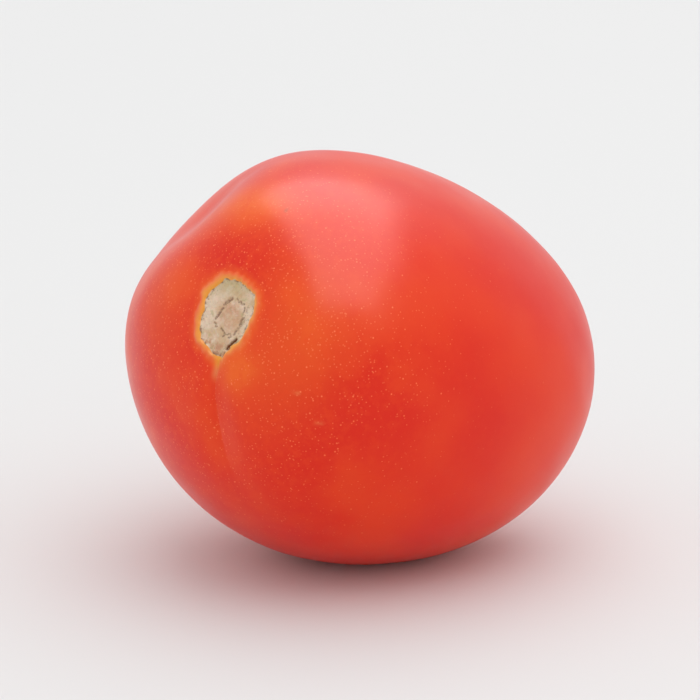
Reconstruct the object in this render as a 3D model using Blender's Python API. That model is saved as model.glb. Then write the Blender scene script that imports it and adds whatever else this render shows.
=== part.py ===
"""A ripe plum tomato, lying on its side on the small flat spot that it rests on.

The fruit is one closed solid, made by moving the points of a ball. It is shaped with its long axis
along X and its stem end at -X. It is then pitched until the stem end points up a little, and cut
level where it rests. Angles around the axis run from the top (+Z) towards +Y.
"""

import math

import bmesh
import bpy
from mathutils import Matrix, Vector

# Driving dimensions of the fruit, in metres.
HALF_LENGTH = 0.0345
HALF_WIDTH = 0.0308
END_FULLNESS = 0.8          # power on the width: under 1 makes the two ends blunt
OVAL = 0.052                # how much wider and narrower than round the section is
OVAL_ANGLE = math.radians(68)
BOW = Vector((0, -0.0050, 0.0025))      # how far the ends are bowed from the middle
BOW_LEVEL = 0.3             # square of the place along the axis where the bow crosses zero
LEAN = Vector((0, 0, 0.05))             # rise of the blossom end for each metre of length

# Valleys in the skin: share of the radius taken, angle around, angle from the stem, half widths.
SADDLE = (0.111, math.radians(50), math.radians(46), math.radians(26), math.radians(20))
FURROW = (0.024, math.radians(190), math.radians(27), math.radians(11), math.radians(16))

# The stem end: a shallow dimple with the corky scar as a sunken oval in it.
DIMPLE_DEPTH = 0.0006
DIMPLE_RADIUS = 0.0085
SCAR_MIDDLE = (-0.0007, -0.0006)        # along Y and Z from the stem end's middle
SCAR_HALF_SIZE = (0.0046, 0.0058)
SCAR_SINK = 0.0004
SCAR_EDGE = 0.12            # width of the step down into the scar, as a share of its half size

# The blossom end: a small pit with a point in it.
PIT_DEPTH = 0.0008
PIT_RADIUS = 0.0040
POINT_HEIGHT = 0.0005
POINT_RADIUS = 0.0011

# How the fruit lies.
PITCH = math.radians(22.5)
REST_CUT = 0.0007           # height of the cap that the rest spot takes off

# Fineness of the solid.
BALL_SUBDIVISIONS = 5
FINE_ANGLE = math.radians(17)           # both ends are twice as fine within this angle

SKIN_COLOUR = (0.72, 0.055, 0.022, 1.0)
SKIN_ROUGHNESS = 0.28


def clear_scene():
    for thing in list(bpy.data.objects):
        bpy.data.objects.remove(thing, do_unlink=True)


def hill(distance, width):
    """A smooth bump: 1 in the middle, fading to 0 beyond the width."""
    return math.exp(-(distance / width) ** 2)


def turn_between(angle, other):
    """The smaller turn between two angles."""
    return abs(math.remainder(angle - other, math.tau))


def valley(around, from_stem, dimensions):
    """Share of the radius that a valley takes at one place."""
    depth, middle_around, middle_from_stem, width_around, width_along = dimensions
    across = hill(turn_between(around, middle_around), width_around)
    along = hill(from_stem - middle_from_stem, width_along)
    return depth * across * along


def stem_sink(across, up):
    """How far the skin sinks at a place beside the stem end's middle."""
    scar_across = (across - SCAR_MIDDLE[0]) / SCAR_HALF_SIZE[0]
    scar_up = (up - SCAR_MIDDLE[1]) / SCAR_HALF_SIZE[1]
    inside = (1 - math.hypot(scar_across, scar_up)) / SCAR_EDGE + 0.5
    inside = min(max(inside, 0.0), 1.0)
    step = inside * inside * (3 - 2 * inside)
    return DIMPLE_DEPTH * hill(math.hypot(across, up), DIMPLE_RADIUS) + SCAR_SINK * step


def blossom_sink(distance):
    """How far the skin sinks at a distance from the blossom end's middle."""
    return PIT_DEPTH * hill(distance, PIT_RADIUS) - POINT_HEIGHT * hill(distance, POINT_RADIUS)


def skin_point(direction):
    """The skin's place in the fruit's own frame, for a unit vector from its middle."""
    along = direction.x
    around = math.atan2(direction.y, direction.z)
    from_stem = math.acos(min(max(-along, -1.0), 1.0))
    spread = math.hypot(direction.y, direction.z) ** END_FULLNESS
    radius = HALF_WIDTH * spread * (1 + OVAL * math.cos(2 * (around - OVAL_ANGLE)))
    point = Vector((HALF_LENGTH * along, radius * math.sin(around), radius * math.cos(around)))
    point += BOW * (along ** 2 - BOW_LEVEL) + LEAN * point.x
    point *= 1 - valley(around, from_stem, SADDLE) - valley(around, from_stem, FURROW)
    distance = HALF_WIDTH * spread
    if along < 0:
        point.x += stem_sink(distance * math.sin(around), distance * math.cos(around))
    else:
        point.x -= blossom_sink(distance)
    return point


def near_an_end(edge):
    return all(abs(vertex.co.normalized().x) > math.cos(FINE_ANGLE) for vertex in edge.verts)


def make_ball(mesh):
    """A unit ball with a vertex at each end of X, and finer there."""
    bmesh.ops.create_icosphere(mesh, subdivisions=BALL_SUBDIVISIONS, radius=1.0)
    bmesh.ops.rotate(mesh, verts=mesh.verts, matrix=Matrix.Rotation(math.radians(90), 3, "Y"))
    end_edges = [edge for edge in mesh.edges if near_an_end(edge)]
    bmesh.ops.subdivide_edges(mesh, edges=end_edges, cuts=1, use_grid_fill=True)
    bmesh.ops.triangulate(mesh, faces=mesh.faces)
    for vertex in mesh.verts:
        vertex.co.normalize()


def lay_down(mesh):
    """Pitch the fruit, cut its rest spot at z = 0 and centre it over the origin."""
    bmesh.ops.rotate(mesh, verts=mesh.verts, matrix=Matrix.Rotation(PITCH, 3, "Y"))
    lowest = min(vertex.co.z for vertex in mesh.verts)
    bmesh.ops.translate(mesh, verts=mesh.verts, vec=(0, 0, -lowest - REST_CUT))
    everything = mesh.verts[:] + mesh.edges[:] + mesh.faces[:]
    cut = bmesh.ops.bisect_plane(mesh, geom=everything, dist=1e-6, plane_co=(0, 0, 0),
                                 plane_no=(0, 0, -1), clear_outer=True)
    rim = [part for part in cut["geom_cut"] if isinstance(part, bmesh.types.BMEdge)]
    bmesh.ops.contextual_create(mesh, geom=rim)
    for edge in rim:
        for vertex in edge.verts:
            vertex.co.z = 0.0
    bmesh.ops.triangulate(mesh, faces=mesh.faces)
    for axis in (0, 1):
        places = [vertex.co[axis] for vertex in mesh.verts]
        middle = (min(places) + max(places)) / 2
        for vertex in mesh.verts:
            vertex.co[axis] -= middle
    bmesh.ops.recalc_face_normals(mesh, faces=mesh.faces)


def make_skin_material():
    material = bpy.data.materials.new("tomato_skin")
    material.use_nodes = True
    surface = material.node_tree.nodes["Principled BSDF"]
    surface.inputs["Base Color"].default_value = SKIN_COLOUR
    surface.inputs["Roughness"].default_value = SKIN_ROUGHNESS
    surface.inputs["Metallic"].default_value = 0.0
    return material


def make_tomato():
    mesh = bmesh.new()
    make_ball(mesh)
    for vertex in mesh.verts:
        vertex.co = skin_point(vertex.co)
    lay_down(mesh)
    data = bpy.data.meshes.new("tomato")
    mesh.to_mesh(data)
    mesh.free()
    data.shade_smooth()
    data.set_sharp_from_angle(angle=math.radians(50))
    data.materials.append(make_skin_material())
    tomato = bpy.data.objects.new("tomato", data)
    bpy.context.scene.collection.objects.link(tomato)
    return tomato


clear_scene()
make_tomato()
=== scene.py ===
"""The looks of a ripe plum tomato that lies on its side.

The fruit is one fine mesh in the shape of the solid, with the relief of its corky stem scar, its furrow
and its blossom scar as real geometry. Colour, gloss and the cork's fine bumps come from one node material.
"""

import math

import bpy
import numpy as np
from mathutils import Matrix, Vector


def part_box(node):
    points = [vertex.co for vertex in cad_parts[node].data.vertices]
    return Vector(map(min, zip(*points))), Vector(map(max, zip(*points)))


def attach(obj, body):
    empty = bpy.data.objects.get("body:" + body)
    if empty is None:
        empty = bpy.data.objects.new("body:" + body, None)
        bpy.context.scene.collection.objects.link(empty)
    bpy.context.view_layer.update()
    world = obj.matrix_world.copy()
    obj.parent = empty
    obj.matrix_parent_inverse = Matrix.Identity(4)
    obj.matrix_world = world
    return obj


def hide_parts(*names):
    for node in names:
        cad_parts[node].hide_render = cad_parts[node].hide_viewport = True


MM = 0.001

# ---- The fruit's shape, as in the solid. Lengths in millimetres, angles in degrees. ----
HALF_LENGTH = 34.5
HALF_WIDTH = 30.8
END_FULLNESS = 0.8           # power on the width: under 1 makes the two ends blunt
OVAL = 0.052                 # how much wider and narrower than round the section is
OVAL_ANGLE = 68
BOW = (0, -5.0, 2.5)
BOW_LEVEL = 0.3              # square of the place along the axis where the bow crosses zero
LEAN = (0, 0, 0.05)
# Valleys: share of the radius taken, angle around, angle from the stem, half widths.
SADDLE = (0.111, 50, 46, 26, 20)
FURROW = (0.024, 190, 27, 11, 16)
DIMPLE_DEPTH = 0.6
DIMPLE_RADIUS = 8.5
PIT_DEPTH = 0.8
PIT_RADIUS = 4.0
POINT_HEIGHT = 0.5
POINT_RADIUS = 1.1
PITCH = 22.5
REST_CUT = 0.7
REST_ROUNDING = 0.12
UNEVENNESS = ((0.10, 26.0, 31), (0.020, 9.0, 32))      # height, wavelength and seed of each part
SKIN_INSET = 0.09            # keeps the unevenness inside the solid's box

# ---- The stem scar, seen from outside: millimetres to the left and up from the end's middle. ----
SCAR_CORNERS = (
    (0.5, 5.0), (-1.1, 5.1), (-2.8, 4.6), (-4.8, 3.5), (-5.3, 2.1), (-5.0, -0.4), (-4.1, -2.9),
    (-2.4, -5.1), (-1.6, -6.4), (0.2, -6.2), (3.1, -4.5), (3.6, -3.4), (3.9, -1.5), (3.6, 0.3),
    (3.8, 1.9), (2.2, 3.7), (1.5, 4.7),
)
SCAR_STROKES = (
    # Vessel marks in a broken ring: the points of each, then its width.
    (((-1.1, 2.3), (-0.4, 1.7), (0.2, 1.1)), 0.42),
    (((0.3, 0.5), (0.7, -0.4), (1.1, -1.2)), 0.42),
    (((1.2, -1.8), (0.7, -1.9), (0.9, -2.4), (0.4, -2.2)), 0.16),
    (((-0.2, -2.3), (-0.7, -2.5), (-1.3, -3.0), (-0.9, -3.4)), 0.22),
    (((-1.5, -2.9), (-2.1, -2.6), (-2.4, -3.0), (-1.9, -3.3)), 0.18),
    (((-2.7, -2.6), (-3.0, -2.0), (-3.3, -1.5)), 0.30),
    (((-3.4, -1.2), (-3.5, -0.7), (-3.6, -0.2)), 0.34),
    (((-3.4, 0.3), (-3.5, 0.8), (-3.6, 1.2)), 0.20),
    (((-3.4, 1.8), (-3.0, 1.6), (-2.8, 2.1), (-2.3, 1.9), (-1.9, 2.4)), 0.20),
    (((-4.2, 1.7), (-4.0, 0.9), (-3.9, 0.1), (-3.8, -0.8)), 0.09),
)
SCAR_SLIT = (((-3.3, -3.2), (-2.8, -3.9), (-2.1, -4.8)), 0.50)
SCAR_RING = (-1.2, -0.1, 2.3, 2.5)      # middle and half sizes of what the vessel marks enclose
SCAR_STEP = (((3.0, -3.6), (1.6, -4.1), (0.2, -4.3), (-1.2, -4.2)), 0.30)
LIP_HEIGHT = 0.16            # the skin's swelling round the scar
GROOVE_DEPTH = 0.26
CORK_SINK = 0.16             # the cork's depth at its edge
CORK_CROWN = 0.22            # how much higher its middle is
MARK_DEPTH = 0.1
SLIT_DEPTH = 0.2
STEP_HEIGHT = 0.10

# ---- The crease that runs down from the scar's tip: angles from the stem and around, and its size. ----
CREASE_FROM_STEM = (7.5, 10, 13, 17, 24, 44)
CREASE_AROUND = (190, 187.5, 185.5, 185.2, 187.5, 193)
CREASE_FADES = (18, 44)
CREASE_DEPTH = 0.36
CREASE_WIDTH = 0.7
TAIL_END = 15.5              # angle from the stem where the scar's pale tail ends in the crease
TAIL_WIDTH = 0.55

# ---- Where the skin is more orange: share, angle around, angle from the stem, half widths. ----
ORANGE_PLACES = (
    (1.0, 12, 29, 26, 9),       # above the scar
    (1.0, 214, 12, 22, 5),      # beside the crease
    (0.6, 270, 20, 55, 14),     # to the right of the scar
    (0.4, 90, 18, 40, 9),       # to its left
)

# ---- Small marks on the skin: angle around, angle from the stem, half sizes across and along. ----
CORKY_NICKS = ((241.7, 27.0, 0.40, 0.22), (239.0, 37.3, 0.42, 0.20), (95.0, 71.0, 0.35, 0.25))
DARK_DOT = (346.7, 30.9, 0.30)

# ---- Mesh fineness. ----
SPOKES = 400
SCAR_STEP_SIZE = 0.12
SCAR_REACH = 8.0
SCAR_FADES = (9.0, 11.0)     # the scar's relief ends between these distances
FAR_AWAY = 30.0
SKIN_STEP_SIZE = 0.62
SHOULDER_REACH = 16.0        # the steps grow from the scar's to the skin's up to here
STEP_GROWTH = 1.12
BLOSSOM_REACH = 5.6
BLOSSOM_STEP_SIZE = 0.3

# ---- View and light. ----
CAMERA_TURN = 47.9          # degrees from -Y towards -X
CAMERA_RISE = 15.0
CAMERA_DISTANCE = 0.8
PIXELS_PER_MM = 6.9
IMAGE_WIDTH = 700
SENSOR_WIDTH = 36.0
PANEL_HEIGHT = 0.7
PANEL_EDGES = (-0.82, 0.33)    # right and left edges, in heights of the panel above the fruit
PANEL_ENDS = (-0.93, 1.15)      # near and far ends
PANEL_TURN = 9.0
PANEL_GLOW = 4.2            # as bright as this in the skin's gloss
SOFT_HEIGHT = 1.0
SOFT_LIGHT = 0.62           # as bright as this on what it lights
WORLD_LIGHT = 0.84
FLOOR_WHITE = 0.78
FLOOR_ROUGHNESS = 0.7
FLOOR_GLOSS = 0.2
FLOOR_REACH = 6.0           # metres from the middle to each edge


# ---------------------------------------------------------------- small maths

def smooth(low, high, value):
    """0 below low, 1 above high, and a smooth step between."""
    share = np.clip((value - low) / (high - low), 0.0, 1.0)
    return share * share * (3 - 2 * share)


def hill(distance, width):
    return np.exp(-(distance / width) ** 2)


def turn_between(angle, other):
    """The smaller turn between two angles in degrees, with its sign."""
    return (angle - other + 180.0) % 360.0 - 180.0


def valley(around, from_stem, dimensions):
    """Strength at each place of a smooth oval patch on the skin."""
    depth, middle_around, middle_from_stem, width_around, width_along = dimensions
    across = hill(turn_between(around, middle_around), width_around)
    return depth * across * hill(from_stem - middle_from_stem, width_along)


def ripples(points, wavelength, seed, waves=22):
    """Smooth, even noise between about -1 and 1: plane waves of one length in all directions."""
    random = np.random.RandomState(seed)
    total = np.zeros(points.shape[:-1])
    for _ in range(waves):
        direction = random.normal(size=points.shape[-1])
        direction /= np.linalg.norm(direction)
        stretch = random.uniform(0.7, 1.4)
        phase = random.uniform(0, 2 * math.pi)
        total += np.cos(points @ direction * (2 * math.pi * stretch / wavelength) + phase)
    return total / math.sqrt(waves)


def distance_to_stroke(places, corners):
    """Distance from each place to an open line of straight runs."""
    nearest = np.full(places.shape[:-1], 1e9)
    for start, end in zip(corners[:-1], corners[1:]):
        start = np.array(start, float)
        run = np.array(end, float) - start
        share = np.clip(((places - start) @ run) / (run @ run), 0.0, 1.0)
        gap = places - start - share[..., None] * run
        nearest = np.minimum(nearest, np.hypot(gap[..., 0], gap[..., 1]))
    return nearest


def depth_inside(places, corners):
    """Distance to a closed outline, positive inside it."""
    closed = tuple(corners) + (corners[0],)
    distance = distance_to_stroke(places, closed)
    inside = np.zeros(places.shape[:-1], bool)
    for (x0, y0), (x1, y1) in zip(closed[:-1], closed[1:]):
        crosses = (y0 > places[..., 1]) != (y1 > places[..., 1])
        edge_x = x0 + (places[..., 1] - y0) * (x1 - x0) / (y1 - y0 + 1e-12)
        inside ^= crosses & (places[..., 0] < edge_x)
    return np.where(inside, distance, -distance)


# ---------------------------------------------------------------- the fruit's surface

def angle_for_distance(distance):
    """Angle from the stem, in degrees, at a distance from the end's middle."""
    return np.degrees(np.arcsin(np.clip(distance / HALF_WIDTH, 0, 1) ** (1 / END_FULLNESS)))


def width_at(from_stem):
    """Half width of the round body at an angle from the stem."""
    return HALF_WIDTH * np.sin(np.radians(from_stem)) ** END_FULLNESS


def ring_angles():
    """Angles from the stem at which the mesh has a ring of points: close together at the scar."""
    scar = angle_for_distance(np.arange(SCAR_STEP_SIZE, SCAR_REACH, SCAR_STEP_SIZE))
    growing = []
    distance = SCAR_REACH
    step = SCAR_STEP_SIZE
    while distance < SHOULDER_REACH:
        growing.append(distance)
        step = min(step * STEP_GROWTH, SKIN_STEP_SIZE)
        distance += step
    shoulder = angle_for_distance(np.array(growing))
    rest_start = angle_for_distance(distance)
    rest_length = math.radians(180 - rest_start) * (HALF_LENGTH + HALF_WIDTH) / 2
    rest_count = int(rest_length / SKIN_STEP_SIZE)
    belly_end = 180 - angle_for_distance(BLOSSOM_REACH + 0.4)
    belly = np.linspace(rest_start, belly_end, rest_count)
    blossom = 180 - angle_for_distance(np.arange(BLOSSOM_REACH, 0.1, -BLOSSOM_STEP_SIZE))
    return np.concatenate([scar, shoulder, belly, blossom])


def scar_fields(left, up):
    """What the stem scar is at each place: depth inside it, vessel marks, slit and step."""
    places = np.stack([left, up], axis=-1)
    wobble = 0.10 * np.stack([ripples(places, 1.5, 11), ripples(places, 1.5, 12)], axis=-1)
    inside = depth_inside(places + wobble, SCAR_CORNERS)
    fine = 0.05 * np.stack([ripples(places, 0.6, 13), ripples(places, 0.6, 14)], axis=-1)
    marks = np.zeros(left.shape)
    for corners, width in SCAR_STROKES:
        distance = distance_to_stroke(places + wobble * 0.6 + fine, corners)
        marks = np.maximum(marks, 1 - smooth(width * 0.2, width * 0.8, distance))
    slit_corners, slit_width = SCAR_SLIT
    slit_gap = distance_to_stroke(places + fine, slit_corners)
    slit = 1 - smooth(slit_width * 0.3, slit_width * 0.65, slit_gap)
    step_corners, step_width = SCAR_STEP
    step = hill(distance_to_stroke(places + wobble, step_corners), step_width)
    ring_left, ring_up, ring_across, ring_tall = SCAR_RING
    ring = hill(np.hypot((left - ring_left) / ring_across, (up - ring_up) / ring_tall) ** 2, 0.9)
    return {"inside": inside, "marks": marks, "slit": slit, "step": step, "ring": ring}


def scar_height(left, up, fields):
    """Relief of the scar and the lip of skin round it, in millimetres outwards."""
    places = np.stack([left, up], axis=-1)
    inside = fields["inside"]
    lip = LIP_HEIGHT * hill(inside + 0.55, 0.45)
    edge_break = 0.55 + 0.45 * ripples(places, 2.2, 21)
    groove = -GROOVE_DEPTH * hill(inside - 0.02, 0.16) * np.clip(edge_break, 0.1, 1.0)
    cork = smooth(0.0, 0.35, inside)
    crown = cork * (-CORK_SINK + CORK_CROWN * smooth(0.3, 3.0, inside))
    grain = cork * (0.045 * ripples(places, 1.1, 22) + 0.022 * ripples(places, 0.45, 23))
    pits = cork * -MARK_DEPTH * fields["marks"]
    slit = -SLIT_DEPTH * fields["slit"]
    step = cork * STEP_HEIGHT * fields["step"]
    return lip + groove + crown + grain + pits + slit + step


def crease_distance(around, from_stem):
    """Distance in millimetres across the skin from the crease's line, with its sign."""
    middle = np.interp(from_stem, CREASE_FROM_STEM, CREASE_AROUND)
    return np.radians(turn_between(around, middle)) * width_at(from_stem)


def crease_presence(from_stem):
    """How strong the crease is: whole from the scar's tip, and fading out down the side."""
    start = smooth(CREASE_FROM_STEM[0] - 3, CREASE_FROM_STEM[0] + 1, from_stem)
    return start * (1 - smooth(*CREASE_FADES, from_stem))


def body_points(around, from_stem):
    """Places on the fruit in its own frame, in millimetres, without the detail at its two ends."""
    turn = np.radians(around)
    along = -np.cos(np.radians(from_stem))
    radius = width_at(from_stem) * (1 + OVAL * np.cos(2 * np.radians(around - OVAL_ANGLE)))
    points = np.stack([HALF_LENGTH * along, radius * np.sin(turn), radius * np.cos(turn)], axis=-1)
    points += np.array(BOW) * (along ** 2 - BOW_LEVEL)[..., None]
    points += np.array(LEAN) * points[..., :1]
    taken = valley(around, from_stem, SADDLE) + valley(around, from_stem, FURROW)
    gap = crease_distance(around, from_stem)
    crease = CREASE_DEPTH * crease_presence(from_stem) * np.exp(-np.abs(gap) / CREASE_WIDTH)
    rise = sum(height * ripples(points, wavelength, seed) for height, wavelength, seed in UNEVENNESS)
    points *= (1 - taken + (rise - SKIN_INSET - crease) / HALF_WIDTH)[..., None]
    return points


def skin_points(around, from_stem):
    """Places on the fruit in its own frame, in millimetres, and what the skin is there."""
    points = body_points(around, from_stem)
    distance = width_at(from_stem)
    left = distance * np.sin(np.radians(around))
    up = distance * np.cos(np.radians(around))
    stem_side = from_stem < 90
    near_scar = stem_side * (1 - smooth(*SCAR_FADES, distance))
    scar = scar_fields(left, up)
    points[..., 0] += stem_side * DIMPLE_DEPTH * hill(distance, DIMPLE_RADIUS)
    points[..., 0] -= near_scar * scar_height(left, up, scar)
    points[..., 0] -= ~stem_side * blossom_depth(left, up)
    fields = {name: scar[name] * near_scar for name in ("marks", "slit", "ring")}
    fields["inside"] = np.where(near_scar > 0, scar["inside"], -FAR_AWAY)
    fields["left"] = left
    fields["up"] = up
    fields["from_stem"] = from_stem
    fields["tail"] = tail_share(around, from_stem)
    fields["orange"] = orange_share(around, from_stem)
    fields["nicks"] = nick_share(around, from_stem)
    across, along = skin_offset(around, from_stem, *DARK_DOT[:2])
    fields["dot"] = hill(np.hypot(across, along), DARK_DOT[2])
    fields["blossom"] = ~stem_side * blossom_share(left, up)
    return points, fields


def tail_share(around, from_stem):
    """The pale line in the crease, from the scar's tip down."""
    fading = 1 - smooth(TAIL_END - 4, TAIL_END, from_stem)
    return crease_presence(from_stem) * fading * hill(crease_distance(around, from_stem), TAIL_WIDTH)


def skin_offset(around, from_stem, middle_around, middle_from_stem):
    """Millimetres across and along the skin from one place on it."""
    across = np.radians(turn_between(around, middle_around)) * width_at(middle_from_stem)
    return across, np.radians(from_stem - middle_from_stem) * HALF_LENGTH


def nick_share(around, from_stem):
    """Small slanting corky nicks in the skin."""
    share = np.zeros(from_stem.shape)
    for middle_around, middle_from_stem, half_across, half_along in CORKY_NICKS:
        across, along = skin_offset(around, from_stem, middle_around, middle_from_stem)
        slanted = np.hypot((across + along) / half_across, (along - across) / half_along)
        share = np.maximum(share, hill(slanted, 1.4))
    return share


def orange_share(around, from_stem):
    """How orange the skin is, from 0 to 1."""
    return np.clip(sum(valley(around, from_stem, place) for place in ORANGE_PLACES), 0, 1)


def blossom_depth(left, up):
    """How far the far end sinks in: a small pit with a rough point in it."""
    distance = np.hypot(left, up)
    places = np.stack([left, up], axis=-1)
    folds = 0.07 * np.cos(5 * np.arctan2(left, up)) * hill(distance - 2.4, 1.6)
    point = (POINT_HEIGHT + 0.10 * ripples(places, 0.9, 42)) * hill(distance, POINT_RADIUS)
    return PIT_DEPTH * hill(distance, PIT_RADIUS) + folds - point


def blossom_share(left, up):
    """1 on the small brown blossom scar, with a ragged edge."""
    places = np.stack([left, up], axis=-1)
    return 1 - smooth(0.7, 1.5, np.hypot(left, up) + 0.35 * ripples(places, 2.0, 41))


def lay_down(points):
    """Pitch the fruit, flatten the spot it rests on and centre it over the origin."""
    turn = math.radians(PITCH)
    x = points[..., 0] * math.cos(turn) + points[..., 2] * math.sin(turn)
    z = points[..., 2] * math.cos(turn) - points[..., 0] * math.sin(turn)
    z = z - z.min() - REST_CUT
    z = (z + np.sqrt(z * z + REST_ROUNDING ** 2)) / 2
    y = points[..., 1]
    middle_x = (x.min() + x.max()) / 2
    middle_y = (y.min() + y.max()) / 2
    return np.stack([x - middle_x, y - middle_y, z], axis=-1)


# ---------------------------------------------------------------- the mesh

def fruit_faces(rings):
    """Quads between the rings of points, and a fan of triangles at each end."""
    ring, spoke = np.meshgrid(np.arange(rings - 1), np.arange(SPOKES), indexing="ij")
    following = (spoke + 1) % SPOKES
    quads = np.stack([
        ring * SPOKES + spoke,
        ring * SPOKES + following,
        (ring + 1) * SPOKES + following,
        (ring + 1) * SPOKES + spoke,
    ], axis=-1).reshape(-1, 4)
    faces = quads.tolist()
    stem_middle = rings * SPOKES
    blossom_middle = stem_middle + 1
    last = (rings - 1) * SPOKES
    for number in range(SPOKES):
        after = (number + 1) % SPOKES
        faces.append([stem_middle, after, number])
        faces.append([blossom_middle, last + number, last + after])
    return faces


def make_fruit_mesh():
    """Rings of points from the stem's middle to the blossom's, and what the skin is at each."""
    angles = ring_angles()
    turns = np.arange(SPOKES) * 360.0 / SPOKES
    from_stem, around = np.meshgrid(angles, turns, indexing="ij")
    end_from_stem = np.array([[0.0], [180.0]])
    points, fields = skin_points(around, from_stem)
    end_points, end_fields = skin_points(np.zeros((2, 1)), end_from_stem)
    flat = np.concatenate([points.reshape(-1, 3), end_points.reshape(-1, 3)])
    places = lay_down(flat) * MM
    mesh = bpy.data.meshes.new("tomato_fruit")
    mesh.from_pydata(places.tolist(), [], fruit_faces(len(angles)))
    mesh.validate()
    mesh.shade_smooth()
    for name in ("inside", "marks", "slit", "tail", "blossom", "from_stem", "left", "up",
                 "orange", "nicks", "dot", "ring"):
        values = np.concatenate([fields[name].ravel(), end_fields[name].ravel()])
        attribute = mesh.attributes.new(name, "FLOAT", "POINT")
        attribute.data.foreach_set("value", values.astype(np.float32))
    return mesh


# ---------------------------------------------------------------- node helpers

class Nodes:
    """Short ways to add and join the nodes of one material."""

    def __init__(self, tree):
        self.tree = tree

    def add(self, kind, settings=None, **inputs):
        node = self.tree.nodes.new(kind)
        for name, value in (settings or {}).items():
            setattr(node, name, value)
        for name, value in inputs.items():
            self.feed(node.inputs[name.replace("_", " ")], value)
        return node

    def feed(self, socket, value):
        if isinstance(value, bpy.types.NodeSocket):
            self.tree.links.new(value, socket)
        else:
            socket.default_value = value

    def field(self, name):
        """A value stored on the mesh's points."""
        return self.add("ShaderNodeAttribute", {"attribute_name": name}).outputs["Fac"]

    def math(self, operation, first, second=0.0):
        node = self.add("ShaderNodeMath", {"operation": operation})
        self.feed(node.inputs[0], first)
        self.feed(node.inputs[1], second)
        return node.outputs[0]

    def ramp(self, value, low, high, start=0.0, end=1.0):
        """start below low, end above high, and a smooth step between."""
        node = self.add("ShaderNodeMapRange", {"interpolation_type": "SMOOTHSTEP"})
        for name, number in (("Value", value), ("From Min", low), ("From Max", high),
                             ("To Min", start), ("To Max", end)):
            self.feed(node.inputs[name], number)
        return node.outputs[0]

    def mix(self, share, first, second):
        node = self.add("ShaderNodeMix", {"data_type": "RGBA"})
        self.feed(node.inputs["Factor"], share)
        self.feed(node.inputs["A"], first)
        self.feed(node.inputs["B"], second)
        return node.outputs["Result"]

    def noise(self, place, size, detail=2.0, roughness=0.5):
        """Soft noise whose blobs are about size millimetres."""
        node = self.add("ShaderNodeTexNoise", Vector=place, Scale=1.0 / size, Detail=detail,
                        Roughness=roughness)
        return node.outputs["Fac"]

    def cells(self, place, size):
        return self.add("ShaderNodeTexVoronoi", {"feature": "F1"}, Vector=place, Scale=1.0 / size)


def colour(red, green, blue):
    """A linear colour from the 0 to 255 values that a screen shows."""
    def linear(value):
        share = value / 255
        return share / 12.92 if share <= 0.04045 else ((share + 0.055) / 1.055) ** 2.4
    return (linear(red), linear(green), linear(blue), 1.0)


# ---------------------------------------------------------------- the skin and scar material

RED = colour(235, 53, 14)
DEEP_RED = colour(228, 36, 10)
ORANGE_RED = colour(240, 74, 20)
ORANGE = colour(246, 106, 30)
SPECKLE = colour(252, 134, 84)
HALO_YELLOW = colour(244, 168, 56)
HALO_PEACH = colour(240, 140, 84)
CORK = colour(212, 180, 144)
CORK_PALE = colour(230, 208, 184)
CORK_TAN = colour(206, 158, 126)
CORK_GREEN = colour(186, 172, 128)
BROWN = colour(118, 86, 64)
DARK_BROWN = colour(112, 62, 30)

# Speckles: spacing, radius, strength and shift of each set.
SPECKLE_SETS = ((0.50, 0.14, 0.55, 3.0), (0.95, 0.18, 0.75, 9.0))

SKIN_ROUGHNESS = (0.285, 0.34)
CORK_ROUGHNESS = 0.88
SKIN_IOR = 1.33
SUBSURFACE_SHARE = 0.15
SUBSURFACE_RADIUS = (1.0, 0.22, 0.10)
SUBSURFACE_SCALE = 0.0035
CORK_BUMP_STRENGTH = 0.55
CORK_BUMP_HEIGHT = 0.15


def skin_colour(nodes, place):
    """Red that drifts to orange above and beside the scar, finely mottled and speckled."""
    from_stem = nodes.field("from_stem")
    near_stem = nodes.ramp(from_stem, 12.0, 80.0, 1.0, 0.15)
    drift = nodes.noise(place, 24.0, 2.0)
    body = nodes.mix(nodes.ramp(drift, 0.36, 0.66), DEEP_RED, RED)
    patches = nodes.ramp(nodes.noise(place, 12.0, 3.0), 0.42, 0.68)
    body = nodes.mix(nodes.math("MULTIPLY", patches, near_stem), body, ORANGE_RED)
    body = nodes.mix(nodes.math("MULTIPLY", nodes.field("orange"), 0.85), body, ORANGE)
    mottle = nodes.ramp(nodes.noise(place, 1.3, 3.0, 0.65), 0.42, 0.72, 0.0, 0.5)
    body = nodes.mix(nodes.math("MULTIPLY", mottle, near_stem), body, ORANGE_RED)
    return nodes.mix(speckles(nodes, place, from_stem), body, SPECKLE)


def speckles(nodes, place, from_stem):
    """Fine pale dots, thick near the stem and few towards the far end."""
    total = 0.0
    for size, radius, strength, shift in SPECKLE_SETS:
        moved = nodes.add("ShaderNodeVectorMath", {"operation": "ADD"})
        nodes.feed(moved.inputs[0], place)
        nodes.feed(moved.inputs[1], (shift, shift * 2, -shift))
        cell = nodes.cells(moved.outputs[0], size)
        picked = nodes.add("ShaderNodeSeparateColor", Color=cell.outputs["Color"]).outputs[0]
        crowd = nodes.ramp(from_stem, 12.0, 95.0, 0.0, 0.88)
        present = nodes.ramp(nodes.math("SUBTRACT", picked, crowd), 0.0, 0.3)
        reach = radius / size
        dot = nodes.ramp(cell.outputs["Distance"], reach * 0.3, reach, 1.0, 0.0)
        dot = nodes.math("MULTIPLY", nodes.math("MULTIPLY", dot, present), strength)
        total = nodes.math("MAXIMUM", total, dot)
    return total


def halo_share(nodes, inside, place, near, far):
    """1 at the scar's edge, fading over a width that varies round the scar."""
    waver = nodes.ramp(nodes.noise(place, 4.5, 1.0), 0.3, 0.7, -0.2, 0.2)
    return nodes.ramp(nodes.math("ADD", inside, waver), -far, -near)


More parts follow.
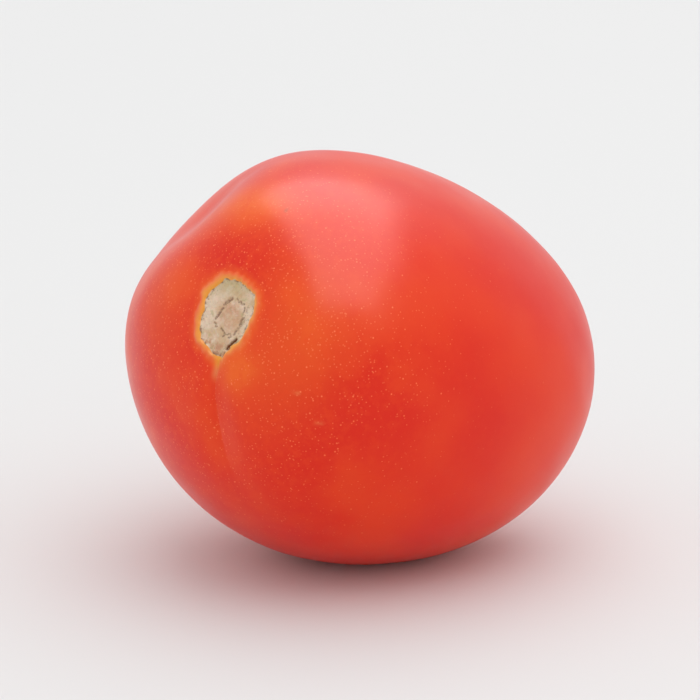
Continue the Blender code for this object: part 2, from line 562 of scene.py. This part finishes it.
def plain_cork(nodes, scar_place):
    """Beige cork: paler at both sides (on the left partly a painted highlight), tan in the ring and at the
    tip, greener in places.
    """
    left = nodes.field("left")
    up = nodes.field("up")
    cork = nodes.mix(nodes.ramp(nodes.noise(scar_place, 2.0, 3.0), 0.35, 0.65), CORK, CORK_PALE)
    # Paler left part of the cork: partly its own paler tone, partly a painted highlight.
    pale_left_and_painted_highlight = nodes.math("MULTIPLY", nodes.ramp(left, 0.6, 2.2), nodes.ramp(up, -3.8, -2.0))
    cork = nodes.mix(nodes.math("MULTIPLY", pale_left_and_painted_highlight, 0.7), cork, CORK_PALE)
    rim_side = nodes.math("MULTIPLY", nodes.ramp(left, -3.6, -4.2), nodes.ramp(up, 2.2, 1.2))
    cork = nodes.mix(nodes.math("MULTIPLY", rim_side, 0.6), cork, CORK_PALE)
    tan_ring = nodes.ramp(nodes.noise(scar_place, 1.2, 3.0, 0.6), 0.35, 0.60, 0.2, 0.9)
    cork = nodes.mix(nodes.math("MULTIPLY", nodes.field("ring"), tan_ring), cork, CORK_TAN)
    high = nodes.math("MULTIPLY", nodes.ramp(up, 1.2, 4.4), nodes.ramp(left, -4.5, -1.0, 0.25, 0.6))
    cork = nodes.mix(high, cork, CORK_GREEN)
    low = nodes.ramp(up, -3.4, -5.0)
    tan = nodes.ramp(nodes.noise(scar_place, 0.9, 3.0, 0.6), 0.42, 0.62)
    cork = nodes.mix(nodes.math("MULTIPLY", nodes.math("ADD", low, 0.15), tan), cork, CORK_TAN)
    green = nodes.ramp(nodes.noise(scar_place, 1.4, 2.0), 0.58, 0.72, 0.0, 0.6)
    return nodes.mix(green, cork, CORK_GREEN)


def cork_colour(nodes, scar_place, inside):
    """Cork with its brown stains, vessel marks and broken rim, and the dark slit."""
    cork = plain_cork(nodes, scar_place)
    stains = nodes.ramp(nodes.noise(scar_place, 0.4, 4.0, 0.7), 0.54, 0.70, 0.0, 0.7)
    edge_stains = nodes.math("MULTIPLY", stains, nodes.ramp(inside, 0.3, 1.5, 1.0, 0.3))
    cork = nodes.mix(edge_stains, cork, BROWN)
    gaps = nodes.ramp(nodes.noise(scar_place, 0.5, 3.0, 0.7), 0.38, 0.55, 0.2, 0.75)
    cork = nodes.mix(nodes.math("MULTIPLY", nodes.field("marks"), gaps), cork, BROWN)
    rim = nodes.math("MULTIPLY", nodes.ramp(inside, 0.05, 0.42, 1.0, 0.0),
                     nodes.ramp(nodes.noise(scar_place, 0.9, 2.0), 0.44, 0.58))
    cork = nodes.mix(nodes.math("MULTIPLY", rim, 0.75), cork, BROWN)
    return nodes.mix(nodes.field("slit"), cork, DARK_BROWN)


def skin_and_halo(nodes, place, inside):
    """Skin with its orange, peach and yellow halo round the scar, and the pale tail in the crease."""
    skin = skin_colour(nodes, place)
    wide_halo = nodes.math("MULTIPLY", halo_share(nodes, inside, place, 0.6, 2.6), 0.6)
    skin = nodes.mix(wide_halo, skin, ORANGE)
    skin = nodes.mix(halo_share(nodes, inside, place, -0.1, 1.5), skin, HALO_PEACH)
    yellow = nodes.math("MULTIPLY", halo_share(nodes, inside, place, -0.25, 0.95), 0.85)
    skin = nodes.mix(yellow, skin, HALO_YELLOW)
    tail_colour = nodes.mix(nodes.ramp(nodes.field("from_stem"), 9.0, 12.0), HALO_YELLOW, HALO_PEACH)
    return nodes.mix(nodes.math("MULTIPLY", nodes.field("tail"), 0.8), skin, tail_colour)


def with_small_marks(nodes, whole):
    """The corky nicks, one dark dot and the brown blossom scar, over all the rest."""
    whole = nodes.mix(nodes.math("MULTIPLY", nodes.field("nicks"), 0.8), whole, HALO_PEACH)
    whole = nodes.mix(nodes.math("MULTIPLY", nodes.field("dot"), 0.7), whole, BROWN)
    return nodes.mix(nodes.field("blossom"), whole, BROWN)


def set_gloss(nodes, surface, place, dry):
    """Waxy skin that carries a little light under it, and dull cork."""
    wax = nodes.ramp(nodes.noise(place, 7.0, 3.0), 0.3, 0.7, *SKIN_ROUGHNESS)
    nodes.feed(surface.inputs["Roughness"], nodes.ramp(dry, 0.0, 1.0, wax, CORK_ROUGHNESS))
    surface.inputs["IOR"].default_value = SKIN_IOR
    surface.inputs["Subsurface Weight"].default_value = SUBSURFACE_SHARE
    surface.inputs["Subsurface Radius"].default_value = SUBSURFACE_RADIUS
    surface.inputs["Subsurface Scale"].default_value = SUBSURFACE_SCALE


def set_cork_bumps(nodes, surface, scar_place, dry):
    grain = nodes.noise(scar_place, 0.35, 5.0, 0.7)
    strength = nodes.ramp(dry, 0.0, 1.0, 0.0, CORK_BUMP_STRENGTH)
    bump = nodes.add("ShaderNodeBump", Strength=strength, Distance=CORK_BUMP_HEIGHT * MM, Height=grain)
    nodes.feed(surface.inputs["Normal"], bump.outputs["Normal"])


def make_skin_material():
    material = bpy.data.materials.new("tomato_skin_and_scar")
    material.use_nodes = True
    nodes = Nodes(material.node_tree)
    surface = material.node_tree.nodes["Principled BSDF"]
    coordinates = nodes.add("ShaderNodeTexCoord").outputs["Object"]
    place = nodes.add("ShaderNodeVectorMath", {"operation": "SCALE"}, Vector=coordinates,
                      Scale=1 / MM).outputs[0]
    inside = nodes.field("inside")
    left_up = nodes.add("ShaderNodeCombineXYZ", X=nodes.field("left"), Y=nodes.field("up"))
    scar_place = left_up.outputs[0]

    skin = skin_and_halo(nodes, place, inside)
    cork = cork_colour(nodes, scar_place, inside)
    is_cork = nodes.ramp(inside, -0.05, 0.08)
    whole = with_small_marks(nodes, nodes.mix(is_cork, skin, cork))
    nodes.feed(surface.inputs["Base Color"], whole)
    dry = nodes.math("MAXIMUM", is_cork, nodes.field("blossom"))
    set_gloss(nodes, surface, place, dry)
    set_cork_bumps(nodes, surface, scar_place, dry)
    return material


def make_tomato():
    mesh = make_fruit_mesh()
    mesh.materials.append(make_skin_material())
    tomato = bpy.data.objects.new("tomato_fruit", mesh)
    bpy.context.scene.collection.objects.link(tomato)
    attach(tomato, "root")
    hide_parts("tomato")
    return tomato


# ---------------------------------------------------------------- floor, light and camera

def view_directions():
    """Unit vectors from the fruit to the camera, to the picture's right, and away along the floor."""
    turn = math.radians(CAMERA_TURN)
    rise = math.radians(CAMERA_RISE)
    level = Vector((-math.sin(turn), -math.cos(turn), 0))
    to_camera = level * math.cos(rise) + Vector((0, 0, math.sin(rise)))
    right = Vector((math.cos(turn), -math.sin(turn), 0))
    return to_camera, right, -level


def make_floor():
    material = bpy.data.materials.new("floor_white")
    material.use_nodes = True
    surface = material.node_tree.nodes["Principled BSDF"]
    surface.inputs["Base Color"].default_value = (FLOOR_WHITE, FLOOR_WHITE, FLOOR_WHITE, 1)
    surface.inputs["Roughness"].default_value = FLOOR_ROUGHNESS
    surface.inputs["Specular IOR Level"].default_value = FLOOR_GLOSS
    reach = FLOOR_REACH
    mesh = bpy.data.meshes.new("floor")
    corners = [(-reach, -reach, 0), (reach, -reach, 0), (reach, reach, 0), (-reach, reach, 0)]
    mesh.from_pydata(corners, [], [(0, 1, 2, 3)])
    mesh.materials.append(material)
    floor = bpy.data.objects.new("floor", mesh)
    bpy.context.scene.collection.objects.link(floor)


def make_world():
    world = bpy.data.worlds.new("studio")
    world.use_nodes = True
    background = world.node_tree.nodes["Background"]
    background.inputs["Color"].default_value = (1.0, 1.0, 1.0, 1)
    background.inputs["Strength"].default_value = WORLD_LIGHT
    bpy.context.scene.world = world


def make_panel(name, middle, height, brightness):
    """A wide soft light overhead."""
    _, right, away = view_directions()
    turned = math.radians(PANEL_TURN)
    along = (away * math.cos(turned) - right * math.sin(turned)).normalized()
    across = Vector((-along.y, along.x, 0))
    right_edge, left_edge = PANEL_EDGES
    near, far = PANEL_ENDS
    light = bpy.data.lights.new(name, "AREA")
    light.shape = "RECTANGLE"
    light.size = (left_edge - right_edge) * height
    light.size_y = (far - near) * height
    light.energy = brightness * math.pi * light.size * light.size_y
    panel = bpy.data.objects.new(name, light)
    bpy.context.scene.collection.objects.link(panel)
    from_middle = along * (near + far) / 2 + across * (left_edge + right_edge) / 2
    panel.location = middle + (from_middle + Vector((0, 0, 1))) * height
    panel.rotation_euler = (0, 0, math.atan2(across.y, across.x))
    return panel


def make_lights(middle):
    """One panel that the gloss shows, and a fainter one above it for the light it gives."""
    glow = make_panel("panel_in_the_gloss", middle, PANEL_HEIGHT, PANEL_GLOW)
    glow.visible_diffuse = False
    glow.visible_transmission = False
    soft = make_panel("panel_light", middle, SOFT_HEIGHT, SOFT_LIGHT)
    soft.visible_glossy = False


def make_camera(middle):
    to_camera, _, _ = view_directions()
    data = bpy.data.cameras.new("camera")
    data.sensor_width = SENSOR_WIDTH
    data.lens = PIXELS_PER_MM / MM * CAMERA_DISTANCE * SENSOR_WIDTH / IMAGE_WIDTH
    camera = bpy.data.objects.new("camera", data)
    bpy.context.scene.collection.objects.link(camera)
    camera.location = middle + to_camera * CAMERA_DISTANCE
    camera.rotation_euler = to_camera.to_track_quat("Z", "Y").to_euler()
    bpy.context.scene.camera = camera


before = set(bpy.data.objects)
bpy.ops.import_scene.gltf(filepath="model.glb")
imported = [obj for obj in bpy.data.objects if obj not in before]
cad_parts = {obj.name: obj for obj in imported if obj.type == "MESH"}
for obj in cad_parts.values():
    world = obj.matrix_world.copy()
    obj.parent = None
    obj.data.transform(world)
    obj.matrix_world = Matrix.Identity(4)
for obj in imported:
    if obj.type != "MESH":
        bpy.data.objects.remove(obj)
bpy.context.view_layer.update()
low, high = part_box("tomato")
fruit_middle = (low + high) / 2

make_tomato()
make_floor()
make_world()
make_lights(fruit_middle)
make_camera(fruit_middle)
bpy.context.scene.view_settings.view_transform = "Standard"
